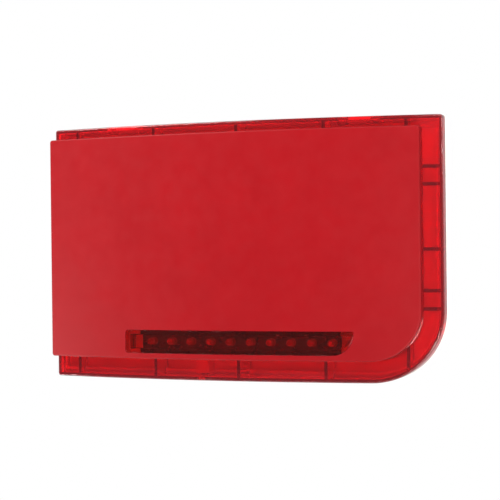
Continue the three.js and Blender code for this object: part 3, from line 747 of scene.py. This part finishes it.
def lens_cover():
    """The translucent cover, with all that stands behind its face."""
    window_hole = prism(window_outline(), 1, -60, -5)
    steps = [("DIFFERENCE", hinge_relief()), ("UNION", plinth())]
    steps += [("UNION", upright_rib(x, top)) for x in RIBS for top in (True, False)]
    steps += [("UNION", side_rib(z)) for z in SIDE_RIBS]
    steps.append(("UNION", bar(1, **TAMPER_POST, sides=24)))
    steps += [("UNION", knuckle(x, side)) for x in HINGES for side in (-1, 1)]
    steps.append(("DIFFERENCE", lock_slot()))
    steps += [("DIFFERENCE", clip_slot(x, z)) for x, z in CLIPS]
    for x in HINGES:
        steps.append(("DIFFERENCE", hinge_notch(x)))
        steps.append(("DIFFERENCE", bar(0, HINGE_Y, HINGE_Z, PIN_RADIUS + GAP, x - PIN_END, x + PIN_END)))
    steps.append(("DIFFERENCE", window_hole))
    cover = combined(shell(), steps)
    cut_at(cover, (FLANGE_EDGE,), 2)
    return cover


def cover_faces(obj):
    """Gives the cover's faces their materials.

    The second, a darker copy of the plastic that paints shade, goes on the rounded hinge edge and the rear
    ends of ribs and walls, and the third on the inner side of the flange above the panel.
    """
    obj.data.materials.append(LOOKS["painted_shade_red"])
    obj.data.materials.append(LOOKS["cover_haze"])
    half = RIB / 2 + 0.05
    close = 0.1
    for polygon in obj.data.polygons:
        x, y, z = polygon.center / MM
        rearward = polygon.normal.y
        behind_face = bow_y(BOW - WALL, x) + 0.5
        upright = min(abs(x - rib) for rib in RIBS) < half and not WINDOW["bottom"] - 5 < z < RIB_TOP_END - 2
        level = min(abs(z - rib) for rib in SIDE_RIBS) < half and x > SIDE_RIB_END - 1
        end = rearward > 0.9 and y > behind_face and (upright or level or y > COVER_BACK - close)
        hinge_edge = rearward > 0.1 and z > HINGE_Z and y > HINGE_Y - close
        flange = rearward > 0.5 and z > FLANGE_EDGE and y < behind_face
        if flange:
            polygon.material_index = 2
        # painted shade: the hinge edge and the rear ends of ribs and walls get the darker copy of the
        # plastic
        elif hinge_edge or end:
            polygon.material_index = 1


# ---- Strip window ----


def led_window():
    """A hollow clear block: a chamfered front just behind the panel's face, and walls 3 mm thick."""
    bm = bmesh.new()
    bow = PANEL_BOW - GAP
    face = bow_y(bow, 0)
    back = bow_y(BOW - WALL, 0)
    wall = GAP + 3
    chamfer = 0.25
    between = chamfer * 0.3  # the front edge is eased in two steps
    corner = 0.4
    rings = [
        ring(bm, window_outline(GAP + chamfer), face),
        ring(bm, window_outline(GAP + between), face + between),
        ring(bm, window_outline(GAP), face + chamfer),
        ring(bm, window_outline(GAP), back),
        ring(bm, window_outline(wall), back),
        ring(bm, window_outline(wall), face + WALL + corner),
        ring(bm, window_outline(wall + corner), face + WALL),
    ]
    for a, b in zip(rings, rings[1:]):
        bridge(bm, a, b)
    cap(bm, rings[0])
    cap(bm, rings[-1])
    return bowed(bm, face, bow, 0)


# ---- LEDs ----


def turned(profile, x, back, z, sides=32):
    """A profile of (radius, height) pairs turned about Y, with heights towards the front."""
    bm = bmesh.new()
    tiny = 1e-6
    turns = [2 * math.pi * i / sides for i in range(sides)]
    loops = []
    for radius, height in profile:
        points = [(x, z)]
        if radius >= tiny:
            points = [(x + radius * math.cos(t), z + radius * math.sin(t)) for t in turns]
        loops.append(ring(bm, points, back - height))
    for a, b in zip(loops, loops[1:]):
        if len(a) == 1 and len(b) == 1:
            continue
        if len(a) == 1 or len(b) == 1:
            tip, loop = (a[0], b) if len(a) == 1 else (b[0], a)
            for i in range(sides):
                bm.faces.new((tip, loop[i], loop[(i + 1) % sides]))
        else:
            bridge(bm, a, b)
    return bm


def led_dome(x):
    """An LED's clear body: a flange with eased edges, a round stem and a half-sphere on it."""
    thick, ease = 1, 0.2
    eased = LED_FLANGE - ease
    steps = 8
    flange = [(0, 0), (eased, 0), (LED_FLANGE, ease), (LED_FLANGE, thick - ease), (eased, thick)]
    dome = []
    for i in range(steps + 1):
        a = math.pi / 2 * i / steps
        dome.append((LED_RADIUS * math.cos(a), LED_SHOULDER + LED_RADIUS * math.sin(a)))
    return turned([*flange, (LED_RADIUS, thick + 0.1), *dome], x, STRIP_Y - GAP, LED_Z)


def together(parts):
    """Several meshes as one."""
    whole = bmesh.new()
    for part in parts:
        mesh = bpy.data.meshes.new("part")
        part.to_mesh(mesh)
        part.free()
        whole.from_mesh(mesh)
        bpy.data.meshes.remove(mesh)
    return whole


def led_cup(x):
    """The bright cup that holds an LED's die, inside its dome."""
    profile = [(0, 2.6), (0.7, 2.6), (0.9, 3.0), (1.25, 5.0), (1.05, 5.0), (0.55, 3.9), (0, 3.9)]
    return turned(profile, x, STRIP_Y - GAP, LED_Z, sides=20)


# ---- Components on the boards ----


def chip(x, z, width, height, thickness, front):
    """A moulded body whose edges slope, standing just off a board's front."""
    bm = bmesh.new()
    clear, slope = 0.1, 0.12
    loops = []
    for depth, by in ((clear, slope), (thickness / 2, 0), (thickness, slope)):
        a, b = width / 2 - by, height / 2 - by
        corners = [(x - a, z - b), (x + a, z - b), (x + a, z + b), (x - a, z + b)]
        loops.append(ring(bm, corners, front - depth))
    for first, second in zip(loops, loops[1:]):
        bridge(bm, first, second)
    cap(bm, loops[0])
    cap(bm, loops[-1])
    return bm


def legs(x, z, width, height, count, front):
    """Flat legs along the two upright sides of a chip."""
    first = 0.6  # from the chip's lower end to the middle of its first leg
    half = 0.2
    top, clear = 0.35, 0.05  # a leg's two faces, off the board
    inside, outside = 0.1, 0.9  # its two ends, from the chip's side
    pitch = (height - 2 * first) / (count - 1)
    found = []
    for side in (-1, 1):
        near, far = x + side * (width / 2 - inside), x + side * (width / 2 + outside)
        low, high = min(near, far), max(near, far)
        for i in range(count):
            place = z - height / 2 + first + i * pitch
            found.append(block(low, high, front - top, front - clear, place - half, place + half))
    return found


def surface_parts(places, front):
    """Two-ended surface parts: each body, and the metal at its ends, which stands a little proud of it."""
    half, end_length, width_half = 0.7, 0.4, 0.62
    top, clear = 0.6, 0.05  # a body's two faces, off the board
    proud = 0.02
    bodies, ends = [], []
    for x, z in places:
        low, high = z - width_half, z + width_half
        bodies.append(block(x - half, x + half, front - top, front - clear, low, high))
        for left in (x - half - end_length, x + half):
            faces = front - top - proud, front - clear + proud
            ends.append(block(left, left + end_length, *faces, low - proud, high + proud))
    return bodies, ends


CHIPS = (  # place, size and legs a side of each chip on the control board
    (-93, 14, 9, 9, 10),
    (-72, 22, 4, 5, 4),
    (-60, 22, 4, 5, 4),
    (-118, 30, 4, 5, 4),
    (-72, -8, 4, 5, 4),
)
SMALL_ROWS = (  # first place, step and count of each row of small parts
    (-105, 30, 3.4, 7),
    (-105, 0, 3.4, 6),
    (-78, 33, 3.4, 8),
    (-130, 44, 3.4, 6),
    (-80, 6, 3.4, 6),
    (-130, 14, 3.4, 4),
)
STRIP_PARTS = (31.1, 51.9)  # the strip's resistors, seen through the window between its LEDs
STRIP_PARTS_Z = -60.6


def control_parts():
    """The control board's chips, their legs, and its rows of small parts."""
    thickness = 1.5
    chips = [chip(x, z, w, h, thickness, CONTROL_Y) for x, z, w, h, _ in CHIPS]
    metal = [leg for x, z, w, h, count in CHIPS for leg in legs(x, z, w, h, count, CONTROL_Y)]
    places = [(x + step * i, z) for x, z, step, count in SMALL_ROWS for i in range(count)]
    bodies, ends = surface_parts(places, CONTROL_Y)
    return together(chips + bodies), together(metal + ends)


def terminal_screws():
    """Slotted screws in the terminal block: a round head each, with a bar on both sides of its slot."""
    (left, _, _), (right, _, _) = span("terminal_block")
    count, z = 6, -27
    radius, front, back = 1.6, -19.9, -19.1
    half, slot, edge = 1.5, 0.25, 0.6  # a bar's half length, and its two sides from the screw's middle
    heads = []
    for i in range(count):
        x = left + (i + 0.5) * (right - left) / count
        heads.append(bar(1, x, z, radius, front, back, sides=20))
        for low, high in ((z - edge, z - slot), (z + slot, z + edge)):
            heads.append(block(x - half, x + half, front - 0.25, front + 0.05, low, high))
    return together(heads)


# ---- Carried-over nodes ----

LEDS = [f"led_{number + 1:02d}" for number in range(LED_COUNT)]
REPLACED = {"lens_cover", "front_panel", "led_window", *LEDS}
BEVEL = 0.3


def finish_node(obj, material):
    """A material, merged facets and a small bevel on a CAD node, whose mesh stays as it is."""
    obj.data.materials.clear()
    obj.data.materials.append(material)
    weld = obj.modifiers.new("weld", "WELD")
    weld.merge_threshold = 2e-6
    planar = obj.modifiers.new("planar", "DECIMATE")
    planar.decimate_type = "DISSOLVE"
    planar.angle_limit = math.radians(0.5)
    bevel = obj.modifiers.new("bevel", "BEVEL")
    bevel.width = BEVEL * MM
    bevel.segments = 2
    bevel.angle_limit = math.radians(40)
    bevel.harden_normals = False
    bevel.use_clamp_overlap = True
    smooth = obj.modifiers.new("normals", "WEIGHTED_NORMAL")
    smooth.keep_sharp = True


slots = {part["node"]: part["material_slot"] for part in frame["record"]["subparts"]}
for name, obj in nodes.items():
    if name not in REPLACED:
        finish_node(obj, LOOKS[slots[name]])


# ---- Pieces that stand for CAD nodes, or are added to them ----

piece("panel_face", front_panel(), LOOKS["panel_red"], "panel_red", "cover", "front_panel")
cover = piece("cover_shell", lens_cover(), LOOKS["cover_red"], "clear_red", "cover", "lens_cover")
cover_faces(cover)
piece("window_lens", led_window(), LOOKS["clear_red"], "clear_red", "cover", "led_window")
led_places = [LED_X + number * LED_PITCH for number in range(LED_COUNT)]
for node, x in zip(LEDS, led_places):
    piece(f"{node}_dome", led_dome(x), LOOKS["led_epoxy"], "led_epoxy", "base", node)

cups = together([led_cup(x) for x in led_places])
piece("led_cups", cups, LOOKS["led_cup"], "header_white", "base")
chips, joints = control_parts()
piece("board_chips", chips, LOOKS["black_abs"], "black_abs", "base")
piece("board_joints", joints, LOOKS["steel"], "steel", "base")
strip_bodies, strip_ends = surface_parts([(x, STRIP_PARTS_Z) for x in STRIP_PARTS], STRIP_Y)
piece("strip_resistors", together(strip_bodies), LOOKS["header_white"], "header_white", "base")
piece("strip_joints", together(strip_ends), LOOKS["steel"], "steel", "base")
piece("terminal_screws", terminal_screws(), LOOKS["steel"], "steel", "base")


# ---- Camera, light and floor ----


CAMERA_PLACE = (395.61, -1029.87, 2.81)
CAMERA_ANGLES = (21.005, -0.113, -0.670)  # yaw, pitch and roll, in degrees


def camera():
    """Almost level, 1.1 m from the part and 21 degrees round to its right, with a long lens."""
    yaw, pitch, roll = (math.radians(a) for a in CAMERA_ANGLES)
    ahead = Vector((-math.sin(yaw) * math.cos(pitch), math.cos(yaw) * math.cos(pitch), math.sin(pitch)))
    level = Vector((math.cos(yaw), math.sin(yaw), 0))
    above = level.cross(ahead)
    right = math.cos(roll) * level + math.sin(roll) * above
    up = -math.sin(roll) * level + math.cos(roll) * above
    data = bpy.data.cameras.new("camera")
    data.sensor_width = 36
    data.lens = 108
    obj = bpy.data.objects.new("camera", data)
    bpy.context.scene.collection.objects.link(obj)
    turn = Matrix((right, up, -ahead)).transposed()
    obj.matrix_world = Matrix.Translation(Vector(CAMERA_PLACE) * MM) @ turn.to_4x4()
    bpy.context.scene.camera = obj


def softbox(name, azimuth, elevation, distance, size, power):
    """A round soft light aimed at the object, in degrees, metres and watts.

    Azimuth 0 is in front of the object and 90 on its right.
    """
    a, e = math.radians(azimuth), math.radians(elevation)
    place = Vector((math.sin(a) * math.cos(e), -math.cos(a) * math.cos(e), math.sin(e))) * distance
    data = bpy.data.lights.new(name, "AREA")
    data.shape = "DISK"
    data.size = size
    data.energy = power
    obj = bpy.data.objects.new(name, data)
    bpy.context.scene.collection.objects.link(obj)
    obj.location = place
    obj.rotation_mode = "QUATERNION"
    obj.rotation_quaternion = (-place).to_track_quat("-Z", "Y")


def surroundings():
    """A pale room behind and beside the object and a dark one in front. The background shows as white."""
    world = bpy.data.worlds.new("studio")
    bpy.context.scene.world = world
    world.use_nodes = True
    tree = world.node_tree
    add = tree.nodes.new
    direction = add("ShaderNodeTexCoord")
    split = add("ShaderNodeSeparateXYZ")
    depth = add("ShaderNodeMapRange")
    depth.interpolation_type = "SMOOTHSTEP"
    for key, value in (("From Min", -0.62), ("From Max", -0.35), ("To Min", 0.0), ("To Max", 1.0)):
        depth.inputs[key].default_value = value
    room = add("ShaderNodeMix")
    room.data_type = "RGBA"
    colours = [i for i in room.inputs if i.type == "RGBA"]
    colours[0].default_value = (0.06, 0.06, 0.06, 1)
    colours[1].default_value = (0.78, 0.78, 0.78, 1)
    seen = add("ShaderNodeLightPath")
    white = add("ShaderNodeMix")
    white.data_type = "RGBA"
    ends = [i for i in white.inputs if i.type == "RGBA"]
    ends[1].default_value = (1, 1, 1, 1)
    link = tree.links.new
    link(direction.outputs["Generated"], split.inputs["Vector"])
    link(split.outputs["Y"], depth.inputs["Value"])
    link(depth.outputs["Result"], room.inputs["Factor"])
    link([o for o in room.outputs if o.type == "RGBA"][0], ends[0])
    link(seen.outputs["Is Camera Ray"], white.inputs["Factor"])
    link([o for o in white.outputs if o.type == "RGBA"][0], tree.nodes["Background"].inputs["Color"])
    bpy.context.scene.view_settings.view_transform = "Standard"


def floor():
    """A plain pale floor, well below the part, which hangs on a wall."""
    bm = bmesh.new()
    bmesh.ops.create_circle(bm, cap_ends=True, segments=96, radius=0.55)
    obj = new_object("floor", bm)
    obj.location = (0, -0.05, -0.30)
    look = Look("floor", (0.85, 0.85, 0.84), 0.6)
    look.tint(60, 0.01)
    obj.data.materials.append(look.material)


camera()
surroundings()
floor()
softbox("key", 36, 41, 1.4, 0.9, 18.5)
softbox("left", -48, 42, 1.4, 0.9, 29)
softbox("low", 36, -23, 1.4, 0.7, 24)
softbox("low_left", -66, -23, 1.4, 0.7, 22)
softbox("side", 84, 8, 1.3, 0.16, 1.5)
